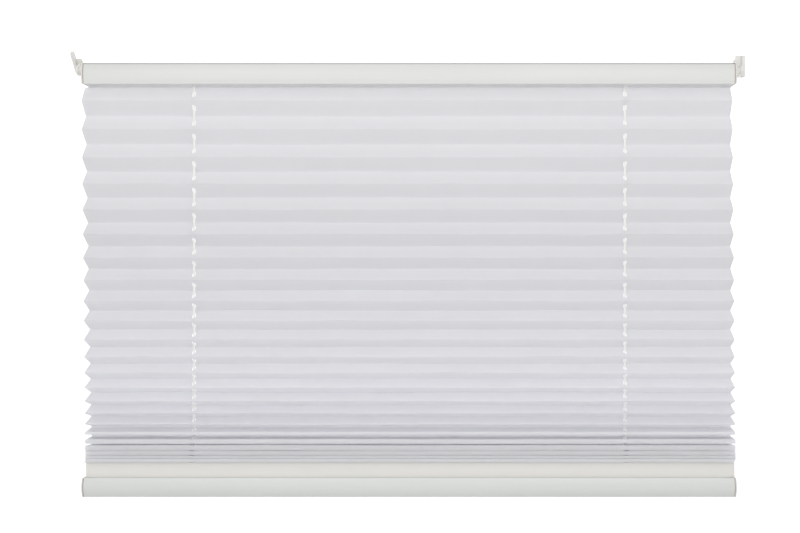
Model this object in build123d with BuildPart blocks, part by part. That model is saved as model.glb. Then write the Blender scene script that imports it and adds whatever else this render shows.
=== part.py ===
from build123d import *
import math
import os

os.makedirs("parts", exist_ok=True)

# Pleated blind, hung from two swivel brackets. Millimetres.
# Origin: middle of the head rail's top face. +X runs along the rails, +Z is up, the room side is -Y.

# ---- Overall sizes
blind_width = 800.0  # over the head rail's two end caps
hanging_drop = 529.4  # head rail top to bottom rail underside, half lowered

# ---- Head rail: a closed aluminium section with a slot along its underside
head_height = 25.0
rail_depth = 22.0  # front of the bulge to the back
head_bulge = 1.2  # how far the front wall swells
rail_wall = 1.3
head_slot = 11.0  # width of the slot the cloth leaves through
cap_thickness = 3.0
spigot_length = 8.0  # how far a cap's tongue enters the rail
fit_gap = 0.25  # clearance of a moulded piece inside an extrusion
running_gap = 0.3  # between pieces that turn past each other
seat_gap = 0.1  # under a piece that is laid or pushed into its seat
tongue_wall = 1.6
head_cap_round = 0.8
bottom_cap_round = 1.6

# ---- Cloth
cloth_side_gap = 0.2  # cloth edge to the end of the aluminium
cloth_thickness = 0.4
pleat_face = 20.0  # width of one face between two folds
open_top = 0.904  # share of a face's width that its height takes, first face
open_bottom = 0.067  # the same at the last face, which lies nearly flat
open_ease = 1.125  # how the opening fades from top to bottom
first_fold_drop = 1.6  # first rear fold, below the head rail's underside
last_fold_lift = 4.0  # last front fold, above the lower strip
tab_front = -3.2  # the cloth's top tab reaches this far forward under the top strip
ledge_margin = 1.0  # cloth's lower edge to the ledge's back edge
glue_line = 0.05
punch_reach = 0.8  # cuts one face and clears its neighbours
hole_along = 8.0  # punched cord hole, across the folds
hole_across = 3.6  # punched cord hole, along the folds

# ---- Strips that carry the cloth's two ends
strip_thickness = 1.2
top_strip_gap = 0.8  # top strip's edges to the rail's walls
strip_end_gap = 1.5  # top strip's end to the cap's tongue
carrier_height = 18.0  # part of the lower strip that shows above the bottom rail
carrier_setback = 2.4  # lower strip's web behind the bottom rail's top front edge
carrier_web = 1.4
carrier_ledge = 14.0  # ledge under the last pleat, front to back
carrier_shift = 1.2  # the lower strip has slid this far to the right
foot_width = 3.6  # bead along the lower strip's bottom edge
foot_height = 2.0

# ---- Bottom rail
bottom_height = 23.2
bottom_bulge = 2.4
bottom_slot_gap = 0.8  # slot width less the web's thickness
weight_width = 14.0
weight_thickness = 4.0
weight_length = 500.0
weight_corner = 1.0

# ---- Lift cords and what they run through
cord_inset = 135.0  # cord to the end of the head rail
cord_diameter = 2.2
cord_gap = 0.3  # cord to the sides of what it passes through
knot_radius = 2.4
spool_core = 3.2  # radius the cord winds on
flange_lip = 0.1  # the spool's flanges stand this much above the wound cord
flange_rim = 1.0
flange_gap = 0.2  # spool flange to the rail's back wall
spool_length = 50.0
spool_cone = 3.0  # tapered end that pushes the turns along
turns_on_spool = 4.5  # turns wound while the blind hangs half lowered
turn_gap = 0.1  # between two turns on the spool
turn_squash = 0.15  # the wound turns are this much flatter than the cord
turn_tuck = 0.4  # first turn, in from the falling cord's side
cradle_wall = 2.0
end_play = 0.4  # spool to cradle wall, at each end
journal_past = 0.6  # journal past the cradle's wall
cradle_head = 3.0  # cradle wall above the journal
cradle_floor = 1.0
cradle_gap = 0.4  # cradle to the rail's walls
journal_radius = 2.6
journal_gap = 0.08  # radial running clearance
shaft_width = 3.0  # square shaft, across flats
shaft_gap = 0.15
shaft_past_spool = 8.0
grommet_radius = 2.2
grommet_lip = 3.4
grommet_gap = 0.05
grommet_round = 0.4
grommet_lip_height = 0.8
stop_radius = 2.9
stop_length = 7.0
stop_gap = 0.1  # cord to the stop's bore
stop_chamfer = 0.6

# ---- Balance spring on the shaft
spring_length = 170.0
spring_outer = 4.7
spring_wire = 0.8
spring_plug_length = 10.0
spring_hub_length = 9.0
plug_inside = 4.0  # how far the plug and the hub reach into the spring
plug_gap = 0.05
plug_head = 0.6  # plug above the spring
shaft_chamfer = 0.3

# ---- Swivel brackets, one at each end
hinge_y = 3.0
hinge_below_top = 6.5
pivot_radius = 2.0
pivot_gap = 0.05  # radial running clearance
pivot_head_radius = 3.6  # inside the rail, behind the cap's boss
pivot_head_height = 1.0
pivot_stake_radius = 2.7  # end spread outside the leg
pivot_stake_height = 0.6
pivot_stake_gap = 0.2  # leg to the spread end
pivot_press = 0.03  # radial gap of the pin in the cap
cap_boss_radius = 4.5
cap_boss_length = 2.0
swivel_gap = 0.3  # cap boss to bracket hub
hub_radius = 4.5
leg_inset = 6.9  # end cap to the leg's inner face
leg_thickness = 2.5
leg_top = -0.2
leg_radius = 6.3  # rounded foot about the hinge
plate_inset = 12.0  # end cap to the outer plate's inner face
plate_thickness = 3.7
plate_front = 8.0
bracket_standoff = 3.0  # bracket's back face behind the head rail's back
bracket_web = 2.5
bracket_top = 14.2
web_inset = 5.0  # end cap to the web's inner edge
lug_inset = 1.8  # end cap to the short inner lug
lug_thickness = 2.6
lug_front = 4.0
lug_top = 8.4
lug_bottom = -2.0
bracket_round = 2.5
left_tilt = 38.0  # the left bracket hangs swung forward by this many degrees
left_web_top = 4.4  # the left bracket's web is cut lower than its outer plate

# ---- Worked out from the sizes above
rail_length = blind_width - 2 * cap_thickness
half_rail = rail_length / 2
half_depth = rail_depth / 2
head_bottom = -head_height
bottom_floor = -hanging_drop
bottom_top = bottom_floor + bottom_height
carrier_top = bottom_top + running_gap + carrier_height
cloth_length = rail_length - 2 * cloth_side_gap
first_fold_z = head_bottom - first_fold_drop
last_fold_z = carrier_top + last_fold_lift
cord_x = half_rail + cap_thickness - cord_inset
cord_radius = cord_diameter / 2
lip_top = head_bottom + rail_wall
top_strip_z = lip_top + strip_thickness
cradle_bottom = top_strip_z + seat_gap
winding_radius = spool_core + cord_radius  # cord centre line on the spool
spool_flange = spool_core + cord_diameter + flange_lip
turn_pitch = cord_diameter + turn_gap
head_front = -half_depth + head_bulge
cavity_front = head_front + rail_wall
cavity_back = half_depth - rail_wall
cradle_width = cavity_back - cavity_front - 2 * cradle_gap
cradle_y = (cavity_front + cavity_back) / 2
shaft_y = cavity_back - flange_gap - spool_flange
shaft_z = (cradle_bottom + cradle_floor - rail_wall) / 2
cord_y = shaft_y - winding_radius  # the cord drops straight from the spool's front side
hinge_z = -hinge_below_top
bracket_back = half_depth + bracket_standoff
bracket_bottom = hinge_z - leg_radius
bottom_front = -half_depth + bottom_bulge
carrier_front = bottom_front + carrier_setback


def face_heights():
    """Height of each cloth face from the first fold to the last, more open at the top."""
    drop = first_fold_z - last_fold_z
    ease_mean = 1 / (1 + open_ease)
    mean_open = open_top - (open_top - open_bottom) * ease_mean
    pairs = round((drop / (pleat_face * mean_open) - 1) / 2)
    count = 2 * pairs + 1
    opened = [open_top - (open_top - open_bottom) * (k / (count - 1)) ** open_ease for k in range(count)]
    return [drop * share / sum(opened) for share in opened]


def fold_points():
    """Folds as (y, z), rear fold first, with every face pleat_face wide."""
    heights = face_heights()
    points = []
    z = first_fold_z
    for k in range(len(heights) + 1):
        height = heights[min(k, len(heights) - 1)]
        depth = math.sqrt(pleat_face**2 - height**2)
        side = 1 if k % 2 == 0 else -1
        points.append((side * depth / 2, z))
        if k < len(heights):
            z -= heights[k]
    return points


folds = fold_points()


def rail_outline(front, bulge_at, top, bottom):
    """Closed rail outline in Y and Z: flat back, top and bottom, and a front that swells in one arc."""
    middle = (top + bottom) / 2
    with BuildLine() as outline:
        Line((front, top), (half_depth, top))
        Line((half_depth, top), (half_depth, bottom))
        Line((half_depth, bottom), (front, bottom))
        ThreePointArc((front, bottom), (bulge_at, middle), (front, top))
    return outline.line


# A section plane whose local x is the part's Y and local y is the part's Z.
def section_at(x):
    return Plane(origin=(x, 0, 0), x_dir=(0, 1, 0), z_dir=(1, 0, 0))


# ---- Head rail
with BuildPart() as head_rail:
    with BuildSketch(section_at(-half_rail)):
        with BuildLine():
            add(rail_outline(head_front, -half_depth, 0, head_bottom))
        make_face()
        offset(amount=-rail_wall, mode=Mode.SUBTRACT, kind=Kind.INTERSECTION)
        with Locations((0, head_bottom)):
            Rectangle(head_slot, 3 * rail_wall, mode=Mode.SUBTRACT)
    extrude(amount=rail_length)
head_rail.part.label = "head_rail"
export_step(head_rail.part, "parts/head_rail.step")


# ---- Head rail end caps, each with a tongue in the rail and a boss that the bracket turns on
def make_head_cap(side):
    name = "right" if side > 0 else "left"
    inner = side * half_rail
    tongue_outer = rail_wall + fit_gap
    with BuildPart() as cap:
        with BuildSketch(section_at(inner)):
            with BuildLine():
                add(rail_outline(head_front, -half_depth, 0, head_bottom))
            make_face()
        extrude(amount=side * cap_thickness)
        outer_face = cap.faces().sort_by(Axis.X)[-1 if side > 0 else 0]
        fillet(outer_face.edges(), radius=head_cap_round)
        with BuildSketch(section_at(inner)):
            with BuildLine():
                add(rail_outline(head_front, -half_depth, 0, head_bottom))
            make_face()
            offset(amount=-tongue_outer, mode=Mode.REPLACE, kind=Kind.INTERSECTION)
            offset(amount=-tongue_wall, mode=Mode.SUBTRACT, kind=Kind.INTERSECTION)
        extrude(amount=-side * spigot_length)
        pivot_plane = Plane(origin=(inner, hinge_y, hinge_z), x_dir=(0, 1, 0), z_dir=(side, 0, 0))
        with BuildSketch(pivot_plane):
            Circle(cap_boss_radius)
        extrude(amount=cap_thickness + cap_boss_length)
        with BuildSketch(pivot_plane):
            Circle(cap_boss_radius)
        extrude(amount=-spigot_length)
        with BuildSketch(pivot_plane.offset(-spigot_length)):
            Circle(pivot_radius + pivot_press)
        extrude(amount=spigot_length + cap_thickness + cap_boss_length, mode=Mode.SUBTRACT)
    cap.part.label = f"head_rail_cap_{name}"
    export_step(cap.part, f"parts/head_rail_cap_{name}.step")


make_head_cap(-1)
make_head_cap(1)


# ---- Swivel brackets
def make_bracket(side, tilt, web_top, has_lug):
    name = "right" if side > 0 else "left"
    end = half_rail + cap_thickness
    back_y = bracket_back - hinge_y
    top_z = bracket_top - hinge_z
    bottom_z = bracket_bottom - hinge_z

    # The bracket is drawn about its own hinge, at the end it belongs to, then tilted forward.
    def level(inset):
        return Plane(origin=(side * (end + inset), 0, 0), x_dir=(0, 1, 0), z_dir=(side, 0, 0))

    def panel(front, top, bottom):
        """Rectangle in Y and Z from a front edge to the bracket's back."""
        mirror_y = side  # the plane's local y is +Z at the right end and -Z at the left end
        centre = ((front + back_y) / 2, mirror_y * (top + bottom) / 2)
        with Locations(centre):
            Rectangle(back_y - front, top - bottom)

    with BuildPart() as bracket:
        with BuildSketch(level(web_inset)):
            panel(back_y - bracket_web, web_top - hinge_z, bottom_z)
        extrude(amount=plate_inset + plate_thickness - web_inset)
        with BuildSketch(level(plate_inset)):
            panel(plate_front - hinge_y, top_z, bottom_z)
        extrude(amount=plate_thickness)
        with BuildSketch(level(leg_inset)):
            Circle(leg_radius)
            panel(0, leg_top - hinge_z, bottom_z)
        extrude(amount=leg_thickness)
        if has_lug:
            with BuildSketch(level(lug_inset)):
                panel(lug_front - hinge_y, lug_top - hinge_z, lug_bottom - hinge_z)
            extrude(amount=lug_thickness)
            with BuildSketch(level(lug_inset)):
                panel(back_y - bracket_web, lug_top - hinge_z, lug_bottom - hinge_z)
            extrude(amount=web_inset - lug_inset + 1)
        with BuildSketch(level(cap_boss_length + swivel_gap)):
            Circle(hub_radius)
        extrude(amount=leg_inset - cap_boss_length - swivel_gap + 1)
        with BuildSketch(level(0)):
            Circle(pivot_radius + pivot_gap)
        extrude(amount=leg_inset + leg_thickness + 1, mode=Mode.SUBTRACT)
        front_corners = bracket.edges().filter_by(Axis.X).filter_by(
            lambda edge: abs(edge.center().Y - (plate_front - hinge_y)) < 0.01
        )
        fillet(front_corners, radius=bracket_round)
    turned = Rot(tilt, 0, 0) * bracket.part
    placed = Pos(0, hinge_y, hinge_z) * turned
    placed.label = f"bracket_{name}"
    export_step(placed, f"parts/bracket_{name}.step")


make_bracket(-1, left_tilt, left_web_top, has_lug=False)
make_bracket(1, 0, bracket_top, has_lug=True)


# ---- Steel pivot pins, headed behind the cap's boss and staked outside the leg
def make_pivot_pin(side):
    name = "right" if side > 0 else "left"
    head_inner = half_rail - spigot_length - pivot_head_height
    leg_outer = half_rail + cap_thickness + leg_inset + leg_thickness

    def across(x):
        return Plane(origin=(side * x, hinge_y, hinge_z), z_dir=(side, 0, 0))

    with BuildPart() as pin:
        with BuildSketch(across(head_inner)):
            Circle(pivot_head_radius)
        extrude(amount=pivot_head_height)
        with BuildSketch(across(head_inner)):
            Circle(pivot_radius)
        extrude(amount=leg_outer + pivot_stake_gap - head_inner)
        with BuildSketch(across(leg_outer + pivot_stake_gap)):
            Circle(pivot_stake_radius)
        extrude(amount=pivot_stake_height)
    pin.part.label = f"pivot_pin_{name}"
    export_step(pin.part, f"parts/pivot_pin_{name}.step")


make_pivot_pin(-1)
make_pivot_pin(1)


# ---- Strip that holds the cloth's top edge inside the head rail
top_strip_length = rail_length - 2 * (spigot_length + strip_end_gap)
with BuildPart() as top_cloth_strip:
    with BuildSketch(Plane.XY.offset(lip_top)):
        with Locations((0, (cavity_front + cavity_back) / 2)):
            Rectangle(top_strip_length, cavity_back - cavity_front - 2 * top_strip_gap)
        with Locations((-cord_x, cord_y), (cord_x, cord_y)):
            SlotOverall(hole_along, hole_across, rotation=90, mode=Mode.SUBTRACT)
    extrude(amount=strip_thickness)
top_cloth_strip.part.label = "top_cloth_strip"
export_step(top_cloth_strip.part, "parts/top_cloth_strip.step")


# ---- Pleated cloth: one sheet folded back and forth, punched for the two cords
tab_z = lip_top - cloth_thickness / 2 - glue_line
hem_y = carrier_front + carrier_ledge - ledge_margin
hem_z = carrier_top + cloth_thickness / 2 + glue_line
cloth_line = [(tab_front, tab_z), *folds, (hem_y, hem_z)]


def face_plane(upper, lower, x):
    """Plane on one cloth face at x, with local x along the part's X and local y down the face."""
    middle_z = upper[1] + (cord_y - upper[0]) * (lower[1] - upper[1]) / (lower[0] - upper[0])
    down = Vector(0, lower[0] - upper[0], lower[1] - upper[1])
    normal = Vector(1, 0, 0).cross(down)
    return Plane(origin=(x, cord_y, middle_z), x_dir=(1, 0, 0), z_dir=normal)


with BuildPart() as pleated_cloth:
    with BuildSketch(section_at(-cloth_length / 2)):
        with BuildLine():
            Polyline(*cloth_line)
            offset(amount=cloth_thickness / 2, kind=Kind.INTERSECTION)
        make_face()
    extrude(amount=cloth_length)
    hole_planes = []
    for upper, lower in zip(cloth_line, cloth_line[1:]):
        for x in (-cord_x, cord_x):
            hole_planes.append(face_plane(upper, lower, x))
    with BuildSketch(*hole_planes):
        SlotOverall(hole_along, hole_across, rotation=90)
    extrude(amount=punch_reach, both=True, mode=Mode.SUBTRACT)
pleated_cloth.part.label = "pleated_cloth"
export_step(pleated_cloth.part, "parts/pleated_cloth.step")


# ---- Lower strip: a ledge under the last pleat, a web that shows, and a bead in the rail's slot
slot_centre = carrier_front + carrier_web / 2
foot_top = bottom_top - rail_wall - running_gap
with BuildPart() as bottom_cloth_strip:
    with BuildSketch(section_at(carrier_shift - half_rail)):
        with Locations((carrier_front + carrier_ledge / 2, carrier_top - strip_thickness / 2)):
            Rectangle(carrier_ledge, strip_thickness)
        with Locations((slot_centre, (carrier_top + foot_top - foot_height) / 2)):
            Rectangle(carrier_web, carrier_top - foot_top + foot_height)
        with Locations((slot_centre, foot_top - foot_height / 2)):
            Rectangle(foot_width, foot_height)
    extrude(amount=rail_length)
    with BuildSketch(Plane.XY.offset(carrier_top + 1)):
        with Locations((-cord_x, cord_y), (cord_x, cord_y)):
            Circle(hole_across / 2)
    extrude(amount=-strip_thickness - 2, mode=Mode.SUBTRACT)
    # The bead stops short of the end caps' tongues.
    for side in (-1, 1):
        notch = spigot_length + strip_end_gap + carrier_shift
        with BuildSketch(section_at(side * (half_rail + 2 * carrier_shift))):
            with Locations((slot_centre, bottom_top - 5)):
                Rectangle(foot_width + 2, 10)
        extrude(amount=-side * (notch + 2 * carrier_shift), mode=Mode.SUBTRACT)
bottom_cloth_strip.part.label = "bottom_cloth_strip"
export_step(bottom_cloth_strip.part, "parts/bottom_cloth_strip.step")

# ---- Bottom rail
slot_width = carrier_web + bottom_slot_gap
with BuildPart() as bottom_rail:
    with BuildSketch(section_at(-half_rail)):
        with BuildLine():
            add(rail_outline(bottom_front, -half_depth, bottom_top, bottom_floor))
        make_face()
        offset(amount=-rail_wall, mode=Mode.SUBTRACT, kind=Kind.INTERSECTION)
        with Locations((slot_centre, bottom_top)):
            Rectangle(slot_width, 3 * rail_wall, mode=Mode.SUBTRACT)
    extrude(amount=rail_length)
    with BuildSketch(Plane.XY.offset(bottom_top + 1)):
        with Locations((-cord_x, cord_y), (cord_x, cord_y)):
            Circle(grommet_radius + grommet_gap)
    extrude(amount=-rail_wall - 2, mode=Mode.SUBTRACT)
bottom_rail.part.label = "bottom_rail"
export_step(bottom_rail.part, "parts/bottom_rail.step")


# ---- Bottom rail end caps
def make_bottom_cap(side):
    name = "right" if side > 0 else "left"
    inner = side * half_rail
    tongue_outer = rail_wall + fit_gap
    with BuildPart() as cap:
        with BuildSketch(section_at(inner)):
            with BuildLine():
                add(rail_outline(bottom_front, -half_depth, bottom_top, bottom_floor))
            make_face()
        extrude(amount=side * cap_thickness)
        outer_face = cap.faces().sort_by(Axis.X)[-1 if side > 0 else 0]
        fillet(outer_face.edges(), radius=bottom_cap_round)
        with BuildSketch(section_at(inner)):
            with BuildLine():
                add(rail_outline(bottom_front, -half_depth, bottom_top, bottom_floor))
            make_face()
            offset(amount=-tongue_outer, mode=Mode.REPLACE, kind=Kind.INTERSECTION)
            offset(amount=-tongue_wall, mode=Mode.SUBTRACT, kind=Kind.INTERSECTION)
        extrude(amount=-side * spigot_length)
    cap.part.label = f"bottom_rail_cap_{name}"
    export_step(cap.part, f"parts/bottom_rail_cap_{name}.step")


make_bottom_cap(-1)
make_bottom_cap(1)

# ---- Steel bar in the bottom rail that keeps the cloth pulled straight
weight_z = bottom_floor + rail_wall
with BuildPart() as bottom_weight:
    with BuildSketch(Plane.XY.offset(weight_z)):
        RectangleRounded(weight_length, weight_width, weight_corner)
    extrude(amount=weight_thickness)
bottom_weight.part.label = "bottom_weight"
export_step(bottom_weight.part, "parts/bottom_weight.step")

# ---- Winding: square shaft, one cord spool above each cord, and their cradles
spool_start = cord_x - cord_radius - cord_gap - spool_cone
shaft_half = spool_start + spool_length + cradle_wall + shaft_past_spool
with BuildPart() as drive_shaft:
    with BuildSketch(Plane(origin=(-shaft_half, shaft_y, shaft_z), x_dir=(0, 1, 0), z_dir=(1, 0, 0))):
        Rectangle(shaft_width, shaft_width)
    extrude(amount=2 * shaft_half)
    chamfer(drive_shaft.edges().filter_by(Axis.X), length=shaft_chamfer)
drive_shaft.part.label = "drive_shaft"
export_step(drive_shaft.part, "parts/drive_shaft.step")


def make_spool(side):
    """Flanged spool with a taper at the cord's side, on journals that turn in the cradle."""
    name = "right" if side > 0 else "left"
    journal = cradle_wall + end_play + journal_past
    with BuildPart() as spool:
        with BuildSketch(Plane(origin=(0, shaft_y, shaft_z), x_dir=(side, 0, 0), z_dir=(0, 1, 0))):
            with BuildLine():
                Polyline(
                    (spool_start - journal, 0),
                    (spool_start - journal, journal_radius),
                    (spool_start, journal_radius),
                    (spool_start, spool_flange),
                    (spool_start + flange_rim, spool_flange),
                    (spool_start + spool_cone, spool_core),
                    (spool_start + spool_length - flange_rim, spool_core),
                    (spool_start + spool_length - flange_rim, spool_flange),
                    (spool_start + spool_length, spool_flange),
                    (spool_start + spool_length, journal_radius),
                    (spool_start + spool_length + journal, journal_radius),
                    (spool_start + spool_length + journal, 0),
                    close=True,
                )
            make_face()
        revolve(axis=Axis((0, shaft_y, shaft_z), (1, 0, 0)))
        spool_end = side * (spool_start - journal - 1)
        with BuildSketch(Plane(origin=(spool_end, shaft_y, shaft_z), x_dir=(0, 1, 0), z_dir=(side, 0, 0))):
            Rectangle(shaft_width + 2 * shaft_gap, shaft_width + 2 * shaft_gap)
        extrude(amount=spool_length + 2 * journal + 2, mode=Mode.SUBTRACT)
    spool.part.label = f"cord_spool_{name}"
    export_step(spool.part, f"parts/cord_spool_{name}.step")


make_spool(-1)
make_spool(1)


def make_cradle(side):
    """Moulded tray that snaps into the head rail, with an eyelet for the cord and two bearing walls."""
    name = "right" if side > 0 else "left"
    inner = spool_start - end_play - cradle_wall
    length = spool_length + 2 * (end_play + cradle_wall)
    wall_height = shaft_z + journal_radius + cradle_head - cradle_bottom
    with BuildPart() as cradle:
        with BuildSketch(Plane.XY.offset(cradle_bottom)):
            with Locations((side * (inner + length / 2), cradle_y)):
                Rectangle(length, cradle_width)
            with Locations((side * cord_x, cord_y)):
                Circle(cord_radius + cord_gap, mode=Mode.SUBTRACT)
        extrude(amount=cradle_floor)
        for wall_at in (inner, inner + length - cradle_wall):
            with BuildSketch(Plane(origin=(side * wall_at, 0, 0), x_dir=(0, 1, 0), z_dir=(side, 0, 0))):
                with Locations((cradle_y, side * (cradle_bottom + wall_height / 2))):
                    Rectangle(cradle_width, wall_height)
                with Locations((shaft_y, side * shaft_z)):
                    Circle(journal_radius + journal_gap, mode=Mode.SUBTRACT)
            extrude(amount=cradle_wall)
    cradle.part.label = f"spool_cradle_{name}"
    export_step(cradle.part, f"parts/spool_cradle_{name}.step")


make_cradle(-1)
make_cradle(1)

# ---- Balance spring: close-wound round the shaft, held by a fixed plug and driven by a hub on the shaft
spring_start = -spring_length / 2
with BuildPart() as balance_spring:
    with BuildSketch(Plane(origin=(spring_start, shaft_y, shaft_z), x_dir=(0, 1, 0), z_dir=(1, 0, 0))):
        Circle(spring_outer)
        Circle(spring_outer - spring_wire, mode=Mode.SUBTRACT)
    extrude(amount=spring_length)
balance_spring.part.label = "balance_spring"
export_step(balance_spring.part, "parts/balance_spring.step")

with BuildPart() as spring_plug:
    with BuildSketch(Plane.XY.offset(cradle_bottom)):
        with Locations((spring_start - spring_plug_length / 2, cradle_y)):
            Rectangle(spring_plug_length, cradle_width)
    extrude(amount=shaft_z + spring_outer + plug_head - cradle_bottom)
    with BuildSketch(Plane(origin=(spring_start, shaft_y, shaft_z), z_dir=(1, 0, 0))):
        Circle(spring_outer - spring_wire - plug_gap)
    extrude(amount=plug_inside)
    with BuildSketch(Plane(origin=(spring_start + plug_inside, shaft_y, shaft_z), z_dir=(1, 0, 0))):
        Circle(shaft_width / math.sqrt(2) + running_gap)
    extrude(amount=-spring_plug_length - plug_inside, mode=Mode.SUBTRACT)
spring_plug.part.label = "spring_plug"
export_step(spring_plug.part, "parts/spring_plug.step")

hub_start = spring_length / 2 + running_gap
with BuildPart() as spring_hub:
    with BuildSketch(Plane(origin=(hub_start, shaft_y, shaft_z), z_dir=(1, 0, 0))):
        Circle(spring_outer)
    extrude(amount=spring_hub_length)
    with BuildSketch(Plane(origin=(hub_start, shaft_y, shaft_z), z_dir=(1, 0, 0))):
        Circle(spring_outer - spring_wire - running_gap)
    extrude(amount=-plug_inside)
    hub_plane = Plane(origin=(hub_start - plug_inside, shaft_y, shaft_z), x_dir=(0, 1, 0), z_dir=(1, 0, 0))
    with BuildSketch(hub_plane):
        Rectangle(shaft_width + 2 * shaft_gap, shaft_width + 2 * shaft_gap)
    extrude(amount=spring_hub_length + plug_inside, mode=Mode.SUBTRACT)
spring_hub.part.label = "spring_hub"
export_step(spring_hub.part, "parts/spring_hub.step")

# ---- Lift cords: turns on the spool, a straight drop through the pleats, and a knot under the stop
stop_top = foot_top - foot_height - running_gap  # clear under the lower strip's bead
stop_bottom = stop_top - stop_length
grommet_tail = bottom_top - stop_top - seat_gap
turns_length = turns_on_spool * turn_pitch


def make_lift_cord(side):
    name = "right" if side > 0 else "left"
    with BuildPart() as cord:
        turns_x = side * (cord_x - cord_radius + turn_tuck)
        with BuildSketch(Plane(origin=(turns_x, shaft_y, shaft_z), z_dir=(side, 0, 0))):
            Circle(spool_core + cord_diameter - turn_squash)
            Circle(spool_core + cord_gap, mode=Mode.SUBTRACT)
        extrude(amount=turns_length)
        with BuildSketch(Plane.XY.offset(shaft_z)):
            with Locations((side * cord_x, cord_y)):
                Circle(cord_radius)
        extrude(amount=stop_bottom - knot_radius - shaft_z)
        with Locations((side * cord_x, cord_y, stop_bottom - knot_radius - seat_gap)):
            Sphere(knot_radius)
    cord.part.label = f"lift_cord_{name}"
    export_step(cord.part, f"parts/lift_cord_{name}.step")


make_lift_cord(-1)
make_lift_cord(1)


# ---- Grommets that line the bottom rail's cord holes, and the stops the cords are knotted under
def make_grommet(side):
    name = "right" if side > 0 else "left"
    with BuildPart() as grommet:
        with BuildSketch(Plane.XY.offset(bottom_top)):
            with Locations((side * cord_x, cord_y)):
                Circle(grommet_lip)
        extrude(amount=grommet_lip_height)
        fillet(grommet.edges().sort_by(Axis.Z)[-1], radius=grommet_round)
        with BuildSketch(Plane.XY.offset(bottom_top)):
            with Locations((side * cord_x, cord_y)):
                Circle(grommet_radius)
        extrude(amount=-grommet_tail)
        with BuildSketch(Plane.XY.offset(bottom_top + grommet_lip_height)):
            with Locations((side * cord_x, cord_y)):
                Circle(cord_radius + cord_gap)
        extrude(amount=-grommet_tail - grommet_lip_height, mode=Mode.SUBTRACT)
    grommet.part.label = f"cord_grommet_{name}"
    export_step(grommet.part, f"parts/cord_grommet_{name}.step")


def make_cord_stop(side):
    name = "right" if side > 0 else "left"
    with BuildPart() as stop:
        with BuildSketch(Plane.XY.offset(stop_bottom)):
            with Locations((side * cord_x, cord_y)):
                Circle(stop_radius)
                Circle(cord_radius + stop_gap, mode=Mode.SUBTRACT)
        extrude(amount=stop_length)
        rims = stop.edges().group_by(Axis.Z)[0].sort_by(SortBy.LENGTH)[-1:]
        chamfer(rims, length=stop_chamfer)
    stop.part.label = f"cord_stop_{name}"
    export_step(stop.part, f"parts/cord_stop_{name}.step")


for end_side in (-1, 1):
    make_grommet(end_side)
    make_cord_stop(end_side)
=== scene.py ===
import math

import bpy
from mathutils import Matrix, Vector


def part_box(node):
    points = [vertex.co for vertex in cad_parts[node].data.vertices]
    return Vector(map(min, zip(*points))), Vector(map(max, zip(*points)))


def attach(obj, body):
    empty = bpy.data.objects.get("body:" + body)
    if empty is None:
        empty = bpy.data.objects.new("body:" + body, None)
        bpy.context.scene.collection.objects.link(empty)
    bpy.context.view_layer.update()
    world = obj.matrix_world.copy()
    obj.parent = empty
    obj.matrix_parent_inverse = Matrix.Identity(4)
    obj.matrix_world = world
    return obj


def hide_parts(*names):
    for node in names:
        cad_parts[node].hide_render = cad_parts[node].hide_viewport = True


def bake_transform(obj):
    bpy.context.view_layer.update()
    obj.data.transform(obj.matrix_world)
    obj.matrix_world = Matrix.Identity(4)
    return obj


# Pleated blind on two swivel brackets. Metres. +X runs along the rails, +Z is up, the room side is -Y.

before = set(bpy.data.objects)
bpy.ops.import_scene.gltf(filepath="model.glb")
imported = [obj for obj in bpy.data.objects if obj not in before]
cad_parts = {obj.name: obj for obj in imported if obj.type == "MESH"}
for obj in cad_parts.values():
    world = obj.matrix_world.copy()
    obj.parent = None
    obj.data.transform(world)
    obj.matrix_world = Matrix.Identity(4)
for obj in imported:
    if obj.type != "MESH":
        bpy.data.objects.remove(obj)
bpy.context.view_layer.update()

# ---- Sizes that the frame doesn't tell
PLEAT_FACE = 0.020  # width of one face between two folds
OPEN_TOP = 0.904  # share of a face's width that its height takes, first face
OPEN_BOTTOM = 0.067  # the same at the last face
OPEN_EASE = 1.125
FIRST_FOLD_DROP = 0.0016
LAST_FOLD_LIFT = 0.0040
TAB_FRONT = -0.0032  # the cloth's top tab reaches this far forward
TAB_BELOW_STRIP = 0.00025
LEDGE_MARGIN = 0.001
HOLE_ALONG = 0.008  # punched cord hole, across the folds
HOLE_ACROSS = 0.0036
CREASE = 0.0006  # from a fold's line to where its faces are flat
CLOTH_THICKNESS = 0.0003
TIGHT_FACE = 0.0065  # faces less tall than this lie close together, and their folds swell
FOLD_SWELL = 0.0030  # most that a closed fold swells to each side
SWELL_BEHIND = 0.0018  # the swelling's widest place, behind the fold
HEM_DROOP = 0.0032  # the last face hangs this much lower just behind the last fold
BEAD_ROWS = (0.0013, 0.0022, 0.0034, 0.0048)  # rows that a bead's curve needs, from its fold
STRAY = 0.00055  # most that an open fold's line strays from straight
STRAY_FACE = 0.008  # faces less tall than this stray less
SAG = 0.0001  # how far the middle of a face hangs down
SAG_FACE = 0.006
CORD_CLEAR = (0.0015, 0.003)  # beside a cord the beads are smaller up to here, and full this much further out
BEAD_AT_CORD = 0.82  # share of a bead's size that is left at a cord
FLARE_LEFT = 0.0012  # the left edge's front folds stick out this much more than its rear folds
LEAN_LEFT = (-0.0042, 0.0018)  # how far the cloth's left edge hangs to the side, at its top and at its bottom
LEAN_RIGHT = (-0.0008, 0.0017)
CORD_WIDTH = 0.0027  # the braid is oval: its broad side faces the room and lies on the spool
CORD_THICKNESS = 0.0018
WINDING_RADIUS = 0.0043
TURN_PITCH = 0.0028
TURNS_ON_SPOOL = 4.5
KNOT_RADIUS = 0.0024
KNOT_POINTS = 60
KNOT_CORD = 0.72  # thickness of the knot's cord, as a share of its radius
TIGHT_FROM, TIGHT_OVER = 0.0145, 0.006  # faces less tall than the first look tight, fully so after the second


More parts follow.
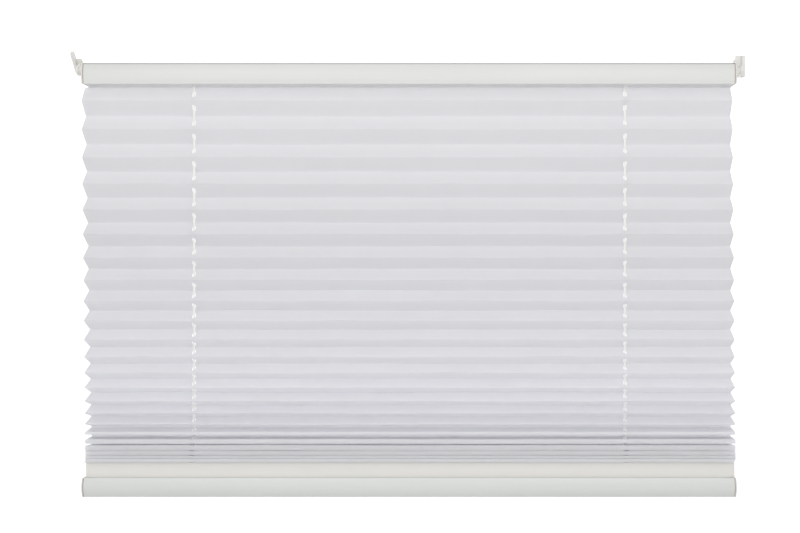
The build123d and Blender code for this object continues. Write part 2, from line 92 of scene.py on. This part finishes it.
# ---- Places that the frame tells
def middle(name):
    low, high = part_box(name)
    return (Vector(low) + Vector(high)) / 2


head_low, head_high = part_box("head_rail")
strip_low, strip_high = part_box("bottom_cloth_strip")
rail_low, rail_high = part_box("bottom_rail")
cloth_low, cloth_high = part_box("pleated_cloth")
half_rail = head_high[0]
cord_x = middle("cord_grommet_right").x
cord_y = middle("cord_grommet_right").y
shaft_y = middle("drive_shaft").y
shaft_z = middle("drive_shaft").z
stop_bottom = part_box("cord_stop_right")[0][2]


# ---- Camera
def place_camera():
    data = bpy.data.cameras.new("camera")
    data.lens = 38.8
    data.sensor_width = 36
    data.shift_x = -0.0739
    camera = bpy.data.objects.new("camera", data)
    camera.location = (0.061, -1.061, -0.2480)
    camera.rotation_euler = (math.pi / 2, 0, 0)
    bpy.context.collection.objects.link(camera)
    bpy.context.scene.camera = camera


place_camera()


# ---- Small tools
def new_piece(name, vertices, faces):
    mesh = bpy.data.meshes.new(name)
    mesh.from_pydata(vertices, [], faces)
    mesh.update()
    piece = bpy.data.objects.new(name, mesh)
    bpy.context.collection.objects.link(piece)
    return piece


def only(piece):
    """Selects one piece and makes it the active one."""
    bpy.ops.object.select_all(action="DESELECT")
    piece.select_set(True)
    bpy.context.view_layer.objects.active = piece


def follow_lift(piece, top_z, bottom_z):
    """Works out a height for each vertex, spread evenly between the head rail and the bottom rail, then puts every
    vertex back where it was.
    """
    mesh = piece.data
    rest = [vertex.co.copy() for vertex in mesh.vertices]
    for vertex in mesh.vertices:
        share = min(max((top_z - vertex.co.z) / (top_z - bottom_z), 0), 1)
        # the inverse of a smooth step between the two ends
        eased = 0.5 - math.sin(math.asin(1 - 2 * share) / 3)
        vertex.co = (0, 0, top_z + (bottom_z - top_z) * eased)
    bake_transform(piece)
    for vertex, place in zip(mesh.vertices, rest):
        vertex.co = place


# ---- Lift cords
def cord_route(side):
    """Turns on the spool, then straight down through the pleats to the knot."""
    points = []
    steps = round(12 * TURNS_ON_SPOOL)
    control_radius = WINDING_RADIUS / math.cos(math.pi / 12)
    for k in range(steps + 1):
        turn = (steps - k) / 12
        angle = math.pi + 2 * math.pi * turn
        x = side * (cord_x + turn * TURN_PITCH)
        y = shaft_y + control_radius * math.cos(angle)
        z = shaft_z - control_radius * math.sin(angle)
        points.append((x, y, z))
    points[-1] = (side * cord_x, cord_y, shaft_z)
    drop = shaft_z - 6 * CORD_WIDTH
    points.append((side * cord_x, cord_y, drop))
    points.append((side * cord_x, cord_y, stop_bottom))
    return points


def smooth_line(points):
    """The points of a smooth line drawn through a route's control points."""
    curve = bpy.data.curves.new("route", "CURVE")
    curve.dimensions = "3D"
    spline = curve.splines.new("NURBS")
    spline.points.add(len(points) - 1)
    for point, place in zip(spline.points, points):
        point.co = (*place, 1)
    spline.order_u = 3
    spline.use_endpoint_u = True
    curve.resolution_u = 6
    route = bpy.data.objects.new("route", curve)
    bpy.context.collection.objects.link(route)
    line = bpy.data.meshes.new_from_object(route)
    places = [vertex.co.copy() for vertex in line.vertices]
    bpy.data.objects.remove(route)
    bpy.data.meshes.remove(line)
    return places


def tube(name, line, width, thickness, closed=False, sides=12):
    """Oval tube along a line, broad across X, with a UV map of turns round it and metres along it."""
    count = len(line)
    rings, travelled = [], [0.0]
    side_way = Vector((1, 0, 0))
    for k, place in enumerate(line):
        before = line[(k - 1) % count] if closed or k else place
        after = line[(k + 1) % count] if closed or k < count - 1 else place
        ahead = (after - before).normalized()
        side_way = (side_way - ahead * side_way.dot(ahead)).normalized()
        other_way = ahead.cross(side_way)
        rings.append([
            place + side_way * (width / 2 * math.cos(a)) + other_way * (thickness / 2 * math.sin(a))
            for a in (2 * math.pi * s / sides for s in range(sides))
        ])
        if k:
            travelled.append(travelled[-1] + (place - line[k - 1]).length)
    vertices = [v for ring in rings for v in ring]
    faces, corners = [], []
    for k in range(count if closed else count - 1):
        n = (k + 1) % count
        for s in range(sides):
            t = (s + 1) % sides
            faces.append((k * sides + s, k * sides + t, n * sides + t, n * sides + s))
            low = travelled[k]
            high = travelled[k] + (line[n] - line[k]).length
            corners += [(s / sides, low), ((s + 1) / sides, low), ((s + 1) / sides, high), (s / sides, high)]
    if not closed:
        faces.append(tuple(reversed(range(sides))))
        faces.append(tuple((count - 1) * sides + s for s in range(sides)))
        corners += [(0, 0)] * sides + [(0, travelled[-1])] * sides
    mesh = bpy.data.meshes.new(name)
    mesh.from_pydata(vertices, [], faces)
    layer = mesh.uv_layers.new(name="UVMap")
    for loop, corner in zip(layer.data, corners):
        loop.uv = corner
    for face in mesh.polygons:
        face.use_smooth = len(face.vertices) == 4
    mesh.update()
    piece = bpy.data.objects.new(name, mesh)
    bpy.context.collection.objects.link(piece)
    return piece, travelled[-1]


def make_knot(name, side):
    """Three-lobed knot that the cord ends in, under its stop."""
    lobe = KNOT_RADIUS / 4.6
    line = []
    for k in range(KNOT_POINTS):
        t = 2 * math.pi * k / KNOT_POINTS
        line.append(Vector((
            side * cord_x + lobe * (math.sin(t) + 2 * math.sin(2 * t)),
            cord_y + lobe * (math.cos(t) - 2 * math.cos(2 * t)),
            stop_bottom - KNOT_RADIUS - 1.4 * lobe * math.sin(3 * t),
        )))
    thickness = KNOT_RADIUS * KNOT_CORD
    knot, _ = tube(name, line, thickness, thickness, closed=True, sides=10)
    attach(knot, "bottom")
    return knot


def make_cord(name, side):
    line = smooth_line(cord_route(side))
    piece, length = tube(f"cord_{name}", line, CORD_WIDTH, CORD_THICKNESS)
    knot = make_knot(f"cord_knot_{name}", side)
    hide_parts(f"lift_cord_{name}")
    follow_lift(piece, head_low[2], strip_high[2])
    return [piece, knot]


cords = make_cord("left", -1) + make_cord("right", 1)


# ---- Pleated cloth
def fold_places():
    """Folds as (y, z), from the first rear fold to the last front one, every face PLEAT_FACE wide."""
    top = head_low[2] - FIRST_FOLD_DROP
    drop = top - strip_high[2] - LAST_FOLD_LIFT
    mean_open = OPEN_TOP - (OPEN_TOP - OPEN_BOTTOM) / (1 + OPEN_EASE)
    count = 2 * round((drop / (PLEAT_FACE * mean_open) - 1) / 2) + 1
    opened = [OPEN_TOP - (OPEN_TOP - OPEN_BOTTOM) * (k / (count - 1)) ** OPEN_EASE for k in range(count)]
    heights = [drop * share / sum(opened) for share in opened]
    folds, z = [], top
    for k in range(count + 1):
        height = heights[min(k, count - 1)]
        depth = math.sqrt(PLEAT_FACE**2 - height**2)
        folds.append((depth / 2 if k % 2 == 0 else -depth / 2, z))
        z -= height
    return folds


def in_hole(across, along):
    """Whether a place, measured from a cord hole's middle, is in the hole or on its edge."""
    radius = HOLE_ACROSS / 2
    past = max(abs(along) - (HOLE_ALONG / 2 - radius), 0)
    return math.hypot(across, past) < radius + 0.00003


def cloth_columns():
    """Places across the cloth, closer together at the two cords."""
    width = cloth_high[0] - cloth_low[0]
    radius = HOLE_ACROSS / 2
    near = (0.0045, radius, radius * math.sqrt(0.5))
    columns = []
    for side in (-1, 1):
        columns += [side * cord_x + way * reach for reach in near for way in (-1, 1)]
        columns.append(side * cord_x)
    steps = 48
    for k in range(steps + 1):
        x = cloth_low[0] + width * k / steps
        if abs(abs(x) - cord_x) > 0.007:
            columns.append(x)
    return sorted(columns)


def cloth_rows(line):
    """Rows along the fabric: (y, z, fold before, share to the next fold, metres along, metres from the hole)."""
    radius = HOLE_ACROSS / 2
    straight = HOLE_ALONG / 2 - radius
    hole_rows = (HOLE_ALONG / 2, straight + radius * math.sqrt(0.5), straight)
    rows, along = [], 0.0
    for k, (start, end) in enumerate(zip(line, line[1:])):
        length = math.dist(start, end)
        hole = length * (cord_y - start[0]) / (end[0] - start[0])
        first = 0 if k == 0 else CREASE
        last = length if k == len(line) - 2 else length - CREASE
        places = {first, last}
        for reach in hole_rows:
            places |= {hole - reach, hole + reach}
        if abs(end[1] - start[1]) < 1.3 * TIGHT_FACE:
            for reach in BEAD_ROWS:
                places |= {reach, length - reach}
        else:
            places |= {(first + hole - HOLE_ALONG / 2) / 2, (last + hole + HOLE_ALONG / 2) / 2}
        for place in sorted(places):
            if not first <= place <= last:
                continue
            share = place / length
            y = start[0] + (end[0] - start[0]) * share
            z = start[1] + (end[1] - start[1]) * share
            rows.append((y, z, k, share, along + place, place - hole))
        along += length
        if k < len(line) - 2:
            after = line[k + 2]
            onward = math.dist(end, after)
            y = end[0] + 0.25 * CREASE * ((start[0] - end[0]) / length + (after[0] - end[0]) / onward)
            z = end[1] + 0.25 * CREASE * ((start[1] - end[1]) / length + (after[1] - end[1]) / onward)
            rows.append((y, z, k, 1.0, along, None))
    return rows, along


def wander(fold, x, size):
    """How far a fold's line strays at x: slow waves that differ from fold to fold."""
    slow = math.sin(2 * math.pi * (x / 0.43 + 0.618 * fold))
    quick = math.sin(2 * math.pi * (x / 0.17 + 0.377 * fold + 0.2 * slow))
    fine = math.sin(2 * math.pi * (x / 0.071 + 0.83 * fold))
    return size * (0.5 * slow + 0.32 * quick + 0.18 * fine)


def swelling(height, length, share):
    """How far a tight pleat's face stands off its flat place.

    Each fold is a rounded bead, and the faces close behind it.
    """
    tight = min(max((TIGHT_FACE - height) / (0.4 * TIGHT_FACE), 0), 1)
    most = min(0.88 * height, FOLD_SWELL) * tight

    def bead(reach):
        ratio = reach / SWELL_BEHIND
        return ratio * math.exp(1 - ratio)

    # under the fold above it the face hangs lower, and over the fold below it it sits higher
    return most * (bead((1 - share) * length) - bead(share * length))


def make_cloth():
    folds = fold_places()
    tab = (TAB_FRONT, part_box("top_cloth_strip")[0][2] - TAB_BELOW_STRIP)
    hem = (strip_high[1] - LEDGE_MARGIN, strip_high[2] + TAB_BELOW_STRIP)
    line = [tab, *folds, hem]
    rows, flat_length = cloth_rows(line)
    columns = cloth_columns()
    half_cloth = cloth_high[0]
    top, bottom = folds[0][1], folds[-1][1]

    def place(x, row):
        y, z, face, share, _, _ = row
        fold_gap = abs(line[face][1] - line[face + 1][1])
        held = 0 < face < len(line) - 2
        size = STRAY * min(fold_gap / STRAY_FACE, 1) if held else 0.0
        stray = wander(face, x, size) * (1 - share) + wander(face + 1, x, size) * share
        drift = wander(face + 7, x, size) * (1 - share) + wander(face + 8, x, size) * share
        sag = SAG * min(fold_gap / SAG_FACE, 1) * math.sin(math.pi * share) if held else 0.0
        swell = swelling(fold_gap, math.dist(line[face], line[face + 1]), share) if held else 0.0
        if face == len(line) - 2:
            swell = -HEM_DROOP * math.exp(-((share * PLEAT_FACE / SWELL_BEHIND - 1) ** 2))
        clear, fade = CORD_CLEAR
        beside = min(max((abs(abs(x) - cord_x) - clear) / fade, 0), 1)
        swell *= BEAD_AT_CORD + (1 - BEAD_AT_CORD) * beside
        down = min(max((top - z) / (top - bottom), 0), 1)
        at_top, at_bottom = LEAN_LEFT if x < 0 else LEAN_RIGHT
        lean = at_top + (at_bottom - at_top) * down if held else 0.0
        if held and x < 0:
            lean -= FLARE_LEFT * (0.5 - y / PLEAT_FACE * 2) * (1 - down)
        beyond = max(abs(x) - cord_x - 0.01, 0) / (half_cloth - cord_x - 0.01)
        return (x + lean * beyond**1.3, y + 0.4 * drift, z + stray - sag + swell)

    vertices = [place(x, row) for row in rows for x in columns]
    wide = len(columns)
    faces, corners = [], []
    for i in range(len(rows) - 1):
        for j in range(wide - 1):
            cell = [(i, j), (i, j + 1), (i + 1, j + 1), (i + 1, j)]
            out = [c for c in cell if not holed(rows[c[0]], columns[c[1]])]
            if not out:
                continue
            if len(out) == 1:
                spot = cell.index(out[0])
                cell = [cell[spot - 1], cell[spot], cell[(spot + 1) % 4]]
            faces.append([r * wide + c for r, c in reversed(cell)])
            corners += [(columns[c], rows[r][4]) for r, c in reversed(cell)]
    mesh = bpy.data.meshes.new("cloth")
    mesh.from_pydata(vertices, [], faces)
    layer = mesh.uv_layers.new(name="UVMap")
    for loop, corner in zip(layer.data, corners):
        loop.uv = corner
    mesh.update()
    # The fold attribute runs from -1 at a face's rear fold to +1 at its front fold; with the tight attribute it
    # places the fabric's painted light and shade.
    fold_position = mesh.attributes.new("fold", "FLOAT", "POINT")
    tightness = mesh.attributes.new("tight", "FLOAT", "POINT")
    for i, row in enumerate(rows):
        _, _, face, share, _, _ = row
        front_end = 1 if line[face + 1][0] < line[face][0] else -1
        height = abs(line[face + 1][1] - line[face][1])
        for j in range(wide):
            fold_position.data[i * wide + j].value = front_end * (2 * share - 1)
            tightness.data[i * wide + j].value = min(max((TIGHT_FROM - height) / TIGHT_OVER, 0), 1)
    cloth = bpy.data.objects.new("cloth", mesh)
    bpy.context.collection.objects.link(cloth)
    only(cloth)
    bpy.ops.object.mode_set(mode="EDIT")
    bpy.ops.mesh.select_all(action="SELECT")
    bpy.ops.mesh.delete_loose()
    bpy.ops.object.mode_set(mode="OBJECT")
    solid = cloth.modifiers.new("thickness", "SOLIDIFY")
    solid.thickness = CLOTH_THICKNESS
    solid.offset = 0
    bpy.ops.object.modifier_apply(modifier=solid.name)
    bpy.ops.object.shade_smooth_by_angle(angle=math.radians(35))
    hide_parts("pleated_cloth")
    follow_lift(cloth, head_low[2], strip_high[2])
    return cloth


def holed(row, x):
    """Whether the cloth has a cord hole at a row and a place across."""
    if row[5] is None:
        return False
    return in_hole(abs(x) - cord_x, row[5])


cloth = make_cloth()


# ---- Finishes
class Wire:
    """A shader socket that arithmetic works on: each operation adds its Math node."""

    def __init__(self, finish, socket):
        self.finish = finish
        self.socket = socket

    def out(self, name):
        """Another output of the same node."""
        return Wire(self.finish, self.socket.node.outputs[name])

    def math(self, operation, first, second=0.0):
        return self.finish.node("ShaderNodeMath", {"operation": operation}, {0: first, 1: second})

    def __add__(self, other):
        return self.math("ADD", self, other)

    def __radd__(self, other):
        return self.math("ADD", other, self)

    def __sub__(self, other):
        return self.math("SUBTRACT", self, other)

    def __rsub__(self, other):
        return self.math("SUBTRACT", other, self)

    def __mul__(self, other):
        return self.math("MULTIPLY", self, other)

    def __rmul__(self, other):
        return self.math("MULTIPLY", other, self)

    def __truediv__(self, other):
        return self.math("DIVIDE", self, other)

    def __rtruediv__(self, other):
        return self.math("DIVIDE", other, self)

    def __pow__(self, other):
        return self.math("POWER", self, other)

    def __mod__(self, other):
        return self.math("FLOORED_MODULO", self, other)

    def __abs__(self):
        return self.math("ABSOLUTE", self)

    def __lt__(self, other):
        return self.math("LESS_THAN", self, other)

    def __gt__(self, other):
        return self.math("GREATER_THAN", self, other)


class Finish:
    """One procedural material."""

    def __init__(self, name):
        self.material = bpy.data.materials.new(name)
        self.material.use_nodes = True
        self.tree = self.material.node_tree
        self.tree.nodes.clear()

    def node(self, kind, settings=None, sockets=None, output=0):
        """Adds a node: its settings first, then its sockets' values and links. Gives one of its outputs."""
        made = self.tree.nodes.new(kind)
        for name, value in (settings or {}).items():
            setattr(made, name, value)
        for key, value in (sockets or {}).items():
            target = made.inputs[key]
            if isinstance(value, Wire):
                self.tree.links.new(value.socket, target)
            elif hasattr(value, "__len__") and target.type == "RGBA":
                target.default_value = (*value, 1)
            else:
                target.default_value = value
        return Wire(self, made.outputs[output]) if made.outputs else None

    def place(self):
        return self.node("ShaderNodeTexCoord", output="Object")

    def fabric_map(self):
        return self.node("ShaderNodeTexCoord", output="UV")

    def axes(self, vector):
        split = self.node("ShaderNodeSeparateXYZ", None, {0: vector})
        return split, split.out("Y"), split.out("Z")

    def stretched(self, vector, scale):
        return self.node("ShaderNodeMapping", {"vector_type": "POINT"}, {"Vector": vector, "Scale": scale})

    def noise(self, vector, scale, detail=2.0, roughness=0.5):
        """Noise about zero, near -0.5 to 0.5."""
        made = self.node(
            "ShaderNodeTexNoise", None,
            {"Vector": vector, "Scale": scale, "Detail": detail, "Roughness": roughness},
        )
        return made - 0.5

    def between(self, low, high, value):
        """0 under low, 1 over high, smooth between them."""
        return self.node(
            "ShaderNodeMapRange", {"interpolation_type": "SMOOTHSTEP"},
            {"Value": value, "From Min": low, "From Max": high},
        )

    def mixed(self, factor, first, second):
        """A colour between two colours."""
        return self.node("ShaderNodeMix", {"data_type": "RGBA"}, {0: factor, 6: first, 7: second}, output=2)

    def shade(self, colour, factor):
        """A colour made darker or lighter by a factor near 1."""
        grey = self.node("ShaderNodeCombineXYZ", None, {0: factor, 1: factor, 2: factor})
        return self.node("ShaderNodeVectorMath", {"operation": "MULTIPLY"}, {0: colour, 1: grey})

    def bump(self, height, distance, strength=1.0):
        return self.node("ShaderNodeBump", None, {"Height": height, "Distance": distance, "Strength": strength})

    def surface(self, **sockets):
        return self.node(
            "ShaderNodeBsdfPrincipled", None, {name.replace("_", " "): value for name, value in sockets.items()}
        )

    def done(self, shader):
        self.node("ShaderNodeOutputMaterial", None, {"Surface": shader})
        return self.material


def painted_aluminium(name, colour, groove_z, groove_shade, fade):
    """Powder-coated extrusion: faint die lines along it, a fine orange peel, and a groove along one front edge whose
    line is also darkened as painted shade; fade darkens the face towards one edge with painted shade.
    """
    finish = Finish(name)
    place = finish.place()
    _, _, z = finish.axes(place)
    # The groove line along the front edge: bumped in, and its colour darkened as painted shade.
    groove = 1 - finish.between(0.0003, 0.0008, abs(z - groove_z))
    low, high, amount = fade
    # Painted shade: the face darkens towards one end of its height, as a curved face turning away from the light
    # would.
    fade_shade = amount * (1 - finish.between(low, high, z))
    lines = finish.noise(finish.stretched(place, (2, 700, 700)), 1.0, 3)
    peel = finish.noise(place, 700, 1)
    cloud = finish.noise(place, 9, 2)
    tone = 1 + 0.03 * cloud + 0.035 * lines - groove_shade * groove - fade_shade
    return finish.done(finish.surface(
        Base_Color=finish.shade(colour, tone),
        Roughness=0.36 + 0.12 * lines + 0.08 * peel,
        Normal=finish.bump(peel + 0.5 * lines - 6 * groove, 0.00002),
        Specular_IOR_Level=0.45,
    ))


def moulded_plastic(name, colour, roughness=0.45, grain=1600, joint=None):
    """Moulded plastic: fine spark grain and a slow unevenness in its colour; where joint is given, a darker tinted
    line at the joint with the rail, painted shade of the gap between the two.
    """
    finish = Finish(name)
    place = finish.place()
    fine = finish.noise(place, grain, 2)
    cloud = finish.noise(place, 40, 2)
    base = colour
    if joint:
        x, _, _ = finish.axes(place)
        # Painted shade: a darker line along the cap's joint with the rail, where the gap between them lies in shade.
        joint_shade_mask = 1 - finish.between(0.0007, 0.0012, abs(abs(x) - half_rail))
        base = finish.mixed(joint_shade_mask, colour, joint)
    return finish.done(finish.surface(
        Base_Color=finish.shade(base, 1 + 0.04 * cloud + 0.02 * fine),
        Roughness=roughness + 0.1 * fine + 0.06 * cloud,
        Normal=finish.bump(fine, 0.00002),
        Specular_IOR_Level=0.4,
    ))


def extruded_strip(name, colour):
    """Cream extruded plastic with faint streaks along it."""
    finish = Finish(name)
    place = finish.place()
    streaks = finish.noise(finish.stretched(place, (3, 350, 350)), 1.0, 3)
    fine = finish.noise(place, 900, 2)
    return finish.done(finish.surface(
        Base_Color=finish.shade(colour, 1 + 0.05 * streaks + 0.02 * fine),
        Roughness=0.5 + 0.15 * streaks,
        Normal=finish.bump(streaks + 0.3 * fine, 0.00003),
        Specular_IOR_Level=0.35,
    ))


def drawn_steel(name, colour, roughness, along):
    """Steel with drawing marks along one axis."""
    finish = Finish(name)
    place = finish.place()
    marks = finish.noise(finish.stretched(place, along), 1.0, 4, 0.6)
    stain = finish.noise(place, 60, 3)
    return finish.done(finish.surface(
        Base_Color=finish.shade(colour, 1 + 0.12 * marks + 0.08 * stain),
        Metallic=1.0,
        Roughness=roughness + 0.2 * marks + 0.08 * stain,
        Normal=finish.bump(marks, 0.00001),
    ))


def wound_spring(name):
    """Close-wound spring: rounded wire turns across its length, darkened where each turn meets the next as painted
    shade, with a film of oil.
    """
    finish = Finish(name)
    place = finish.place()
    x, _, _ = finish.axes(place)
    # Across each turn: 0 at its middle, 1 where it meets the next; the colour darkens there as painted shade.
    turn = abs((x / 0.0008) % 1 - 0.5) * 2
    stain = finish.noise(place, 90, 3)
    return finish.done(finish.surface(
        Base_Color=finish.shade((0.32, 0.31, 0.30), 1 + 0.2 * stain - 0.35 * turn**3),
        Metallic=1.0,
        Roughness=0.3 + 0.12 * stain,
        Normal=finish.bump(1 - turn**2, 0.0003),
    ))


def braided_cord(name):
    """White braided cord: strands that cross on the diagonal."""
    finish = Finish(name)
    round_it, along, _ = finish.axes(finish.fabric_map())
    lay = along / 0.0028
    right = abs((round_it * 4 + lay) % 1 - 0.5) * 2
    left = abs((round_it * 4 - lay) % 1 - 0.5) * 2
    strands = 1 - right**2 * left**2
    fuzz = finish.noise(finish.place(), 2500, 2)
    return finish.done(finish.surface(
        Base_Color=finish.shade((0.96, 0.955, 0.925), 0.96 + 0.04 * strands + 0.03 * fuzz),
        Roughness=0.85,
        Normal=finish.bump(strands + 0.3 * fuzz, 0.00008),
        Sheen_Weight=0.3,
    ))


def pleated_fabric(name):
    """Thin woven polyester: a plain weave, slubs along the folds, and light through it.

    Painted light and shade: on open pleats a darker line at each front fold and lighter cloth towards each rear
    fold; lighter cloth where pleats lie close together and just under the head rail, where little light gets in.
    """
    finish = Finish(name)
    fabric = finish.fabric_map()
    across, along, _ = finish.axes(fabric)
    fold = finish.node("ShaderNodeAttribute", {"attribute_name": "fold"}, output="Fac")
    yarn = 0.00042
    over = finish.node("ShaderNodeMath", {"operation": "SINE"}, {0: across * (2 * math.pi / yarn)})
    under = finish.node("ShaderNodeMath", {"operation": "SINE"}, {0: along * (2 * math.pi / yarn)})
    weave = over * under
    slubs = finish.noise(finish.stretched(fabric, (9, 1400, 1)), 1.0, 3, 0.6)
    cloud = finish.noise(fabric, 14, 2)
    tight = finish.node("ShaderNodeAttribute", {"attribute_name": "tight"}, output="Fac")
    # Painted shade and painted light on open pleats: darker at each front fold, lighter towards each rear fold, and
    # lighter just under the head rail, which shades the cloth there.
    front_fold = finish.between(0.93, 1.0, fold)
    rear_fold = finish.between(0.0, 1.0, 0 - fold)
    under_rail = 1 - finish.between(0.006, 0.02, along)
    open_painted_shading = 0.035 * rear_fold - 0.035 * front_fold + 0.14 * under_rail
    # Painted light on tight pleats, which lie in each other's shade, a little more towards their front folds.
    tight_painted_light = 0.15 + 0.03 * finish.between(0.3, 0.85, fold)
    tone = 1 + 0.03 * slubs + 0.015 * cloud + 0.006 * weave + open_painted_shading * (1 - tight) + tight_painted_light * tight
    colour = finish.shade((0.84, 0.84, 0.852), tone)
    relief = finish.bump(weave * 0.5 + slubs, 0.00006)
    front = finish.surface(Base_Color=colour, Roughness=0.82, Normal=relief, Specular_IOR_Level=0.2)
    through = finish.node("ShaderNodeBsdfTranslucent", None, {"Color": (0.89, 0.89, 0.905), "Normal": relief})
    return finish.done(finish.node("ShaderNodeMixShader", None, {0: 0.5, 1: front, 2: through}))


# Head rail paint, with painted shade along its top groove and darkening towards its top edge.
rail_white = painted_aluminium(
    "rail_white", (0.80, 0.81, 0.785), head_high[2] - 0.0006, 0.6, (head_high[2], head_high[2] - 0.012, 0.07),
)
# Bottom rail: the same paint, a touch cooler and darker as painted shade, with painted shade along its bottom edge
# and darkening towards its bottom.
rail_white_lower_shaded = painted_aluminium(
    "rail_white_lower_shaded", (0.775, 0.79, 0.77), rail_low[2] + 0.0005, 0.06,
    (rail_low[2] - 0.004, rail_low[2] + 0.02, 0.16),
)
# End caps, with painted shade at their joints with the rails.
cap_white = moulded_plastic("cap_white", (0.78, 0.77, 0.745), joint=(0.42, 0.34, 0.31))
bracket_white = moulded_plastic("bracket_white", (0.83, 0.82, 0.79), 0.38, 1200)
strip_cream = extruded_strip("strip_cream", (0.81, 0.80, 0.765))
inner_white = moulded_plastic("inner_white", (0.74, 0.74, 0.72), 0.5, 900)
steel = drawn_steel("drawn_steel", (0.56, 0.55, 0.54), 0.3, (8, 900, 900))
spring_steel = wound_spring("spring_steel")
cord_white = braided_cord("cord_white")
fabric_white = pleated_fabric("fabric_white")


def finish_node(finish, *names):
    """Gives CAD nodes a finish."""
    for name in names:
        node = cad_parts[name]
        if not node.material_slots:
            node.data.materials.append(finish)
        for slot in node.material_slots:
            slot.material = finish


def softened_group():
    """A node group for a modifier: shades a mesh's faces smooth and keeps edges sharper than 32 degrees sharp."""
    group = bpy.data.node_groups.new("softened", "GeometryNodeTree")
    group.interface.new_socket("Geometry", in_out="INPUT", socket_type="NodeSocketGeometry")
    group.interface.new_socket("Geometry", in_out="OUTPUT", socket_type="NodeSocketGeometry")
    start = group.nodes.new("NodeGroupInput")
    end = group.nodes.new("NodeGroupOutput")
    faces = group.nodes.new("GeometryNodeSetShadeSmooth")
    edges = group.nodes.new("GeometryNodeSetShadeSmooth")
    edges.domain = "EDGE"
    angle = group.nodes.new("GeometryNodeInputMeshEdgeAngle")
    sharp = group.nodes.new("FunctionNodeCompare")
    sharp.operation = "GREATER_THAN"
    sharp.inputs["B"].default_value = math.radians(32)
    edges.inputs["Shade Smooth"].default_value = False
    group.links.new(start.outputs[0], faces.inputs["Geometry"])
    group.links.new(faces.outputs[0], edges.inputs["Geometry"])
    group.links.new(angle.outputs["Unsigned Angle"], sharp.inputs["A"])
    group.links.new(sharp.outputs[0], edges.inputs["Selection"])
    group.links.new(edges.outputs[0], end.inputs[0])
    return group


def soften(radius, *names):
    """Rounds a CAD node's edges a little and shades its curves smooth. Its own mesh stays as it is."""
    for name in names:
        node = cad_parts[name]
        joined = node.modifiers.new("joined", "WELD")
        joined.merge_threshold = 0.00001
        if radius:
            edge = node.modifiers.new("edge", "BEVEL")
            edge.width = radius
            edge.segments = 2
            edge.limit_method = "ANGLE"
            edge.angle_limit = math.radians(40)
        shading = node.modifiers.new("shading", "NODES")
        shading.node_group = softened


softened = softened_group()


def finish_piece(finish, *made):
    for piece in made:
        piece.data.materials.clear()
        piece.data.materials.append(finish)


soften(
    0.0003, "head_rail", "bottom_rail", "head_rail_cap_left", "head_rail_cap_right", "bottom_rail_cap_left",
    "bottom_rail_cap_right", "bracket_left", "bracket_right", "bottom_cloth_strip",
)
soften(
    0, "pivot_pin_left", "pivot_pin_right", "balance_spring", "spring_hub", "spring_plug", "cord_spool_left",
    "cord_spool_right", "cord_stop_left", "cord_stop_right", "cord_grommet_left", "cord_grommet_right",
    "spool_cradle_left", "spool_cradle_right",
)
finish_node(rail_white, "head_rail")
finish_node(rail_white_lower_shaded, "bottom_rail")
finish_node(cap_white, "head_rail_cap_left", "head_rail_cap_right", "bottom_rail_cap_left", "bottom_rail_cap_right")
finish_node(bracket_white, "bracket_left", "bracket_right")
finish_node(strip_cream, "bottom_cloth_strip", "top_cloth_strip")
finish_node(
    inner_white, "spool_cradle_left", "spool_cradle_right", "cord_spool_left", "cord_spool_right",
    "cord_grommet_left", "cord_grommet_right", "cord_stop_left", "cord_stop_right", "spring_plug", "spring_hub",
)
finish_node(steel, "pivot_pin_left", "pivot_pin_right", "drive_shaft", "bottom_weight")
finish_node(spring_steel, "balance_spring")
finish_piece(cord_white, *cords)
finish_piece(fabric_white, cloth)


# ---- Floor, backdrop and light
BACKDROP_GLOW = 0.72
WORLD_LIGHT = 0.49
FRONT_LIGHT = 18
TOP_LIGHT = 10


def make_stage():
    """A floor that turns up into a wall in one sweep."""
    floor_z, wall_y, sweep, half_width = -1.3, 2.6, 0.7, 7.0
    profile = [(-6.0, floor_z)]
    for k in range(13):
        turn = math.pi / 2 * k / 12
        profile.append((wall_y - sweep + sweep * math.sin(turn), floor_z + sweep - sweep * math.cos(turn)))
    profile.append((wall_y, 4.0))
    vertices = [(x, y, z) for y, z in profile for x in (-half_width, half_width)]
    faces = [(2 * k, 2 * k + 1, 2 * k + 3, 2 * k + 2) for k in range(len(profile) - 1)]
    stage = new_piece("stage", vertices, faces)
    for face in stage.data.polygons:
        face.use_smooth = True
    finish = Finish("stage_white")
    _, depth, _ = finish.axes(finish.place())
    cloud = finish.noise(finish.place(), 0.8, 2)
    far = finish.between(0.6, 1.9, depth)
    glow = finish.shade((1, 1, 1), 0.15 + 0.85 * far)
    finish_piece(finish.done(finish.surface(
        Base_Color=finish.shade((0.84, 0.84, 0.84), 1 + 0.02 * cloud),
        Roughness=0.9,
        Emission_Color=glow,
        Emission_Strength=BACKDROP_GLOW,
    )), stage)


def add_light(name, place, aim, size, watts):
    data = bpy.data.lights.new(name, "AREA")
    data.shape = "RECTANGLE"
    data.size, data.size_y = size
    data.energy = watts
    light = bpy.data.objects.new(name, data)
    light.location = place
    light.rotation_euler = (Vector(aim) - Vector(place)).to_track_quat("-Z", "Y").to_euler()
    bpy.context.collection.objects.link(light)


def light_world():
    world = bpy.data.worlds.new("studio")
    bpy.context.scene.world = world
    world.use_nodes = True
    world.node_tree.nodes["Background"].inputs["Color"].default_value = (1, 1, 1, 1)
    world.node_tree.nodes["Background"].inputs["Strength"].default_value = WORLD_LIGHT


make_stage()
light_world()
add_light("front_left", (-1.6, -3.0, 0.9), (0, 0, -0.25), (2.4, 1.4), FRONT_LIGHT)
add_light("front_right", (1.6, -3.0, 0.9), (0, 0, -0.25), (2.4, 1.4), FRONT_LIGHT)
add_light("above", (0, -1.3, 1.5), (0, 0, -0.3), (2.6, 1.4), TOP_LIGHT)
bpy.context.scene.view_settings.view_transform = "Standard"
bpy.context.scene.cycles.diffuse_bounces = 12
bpy.context.scene.cycles.max_bounces = 16
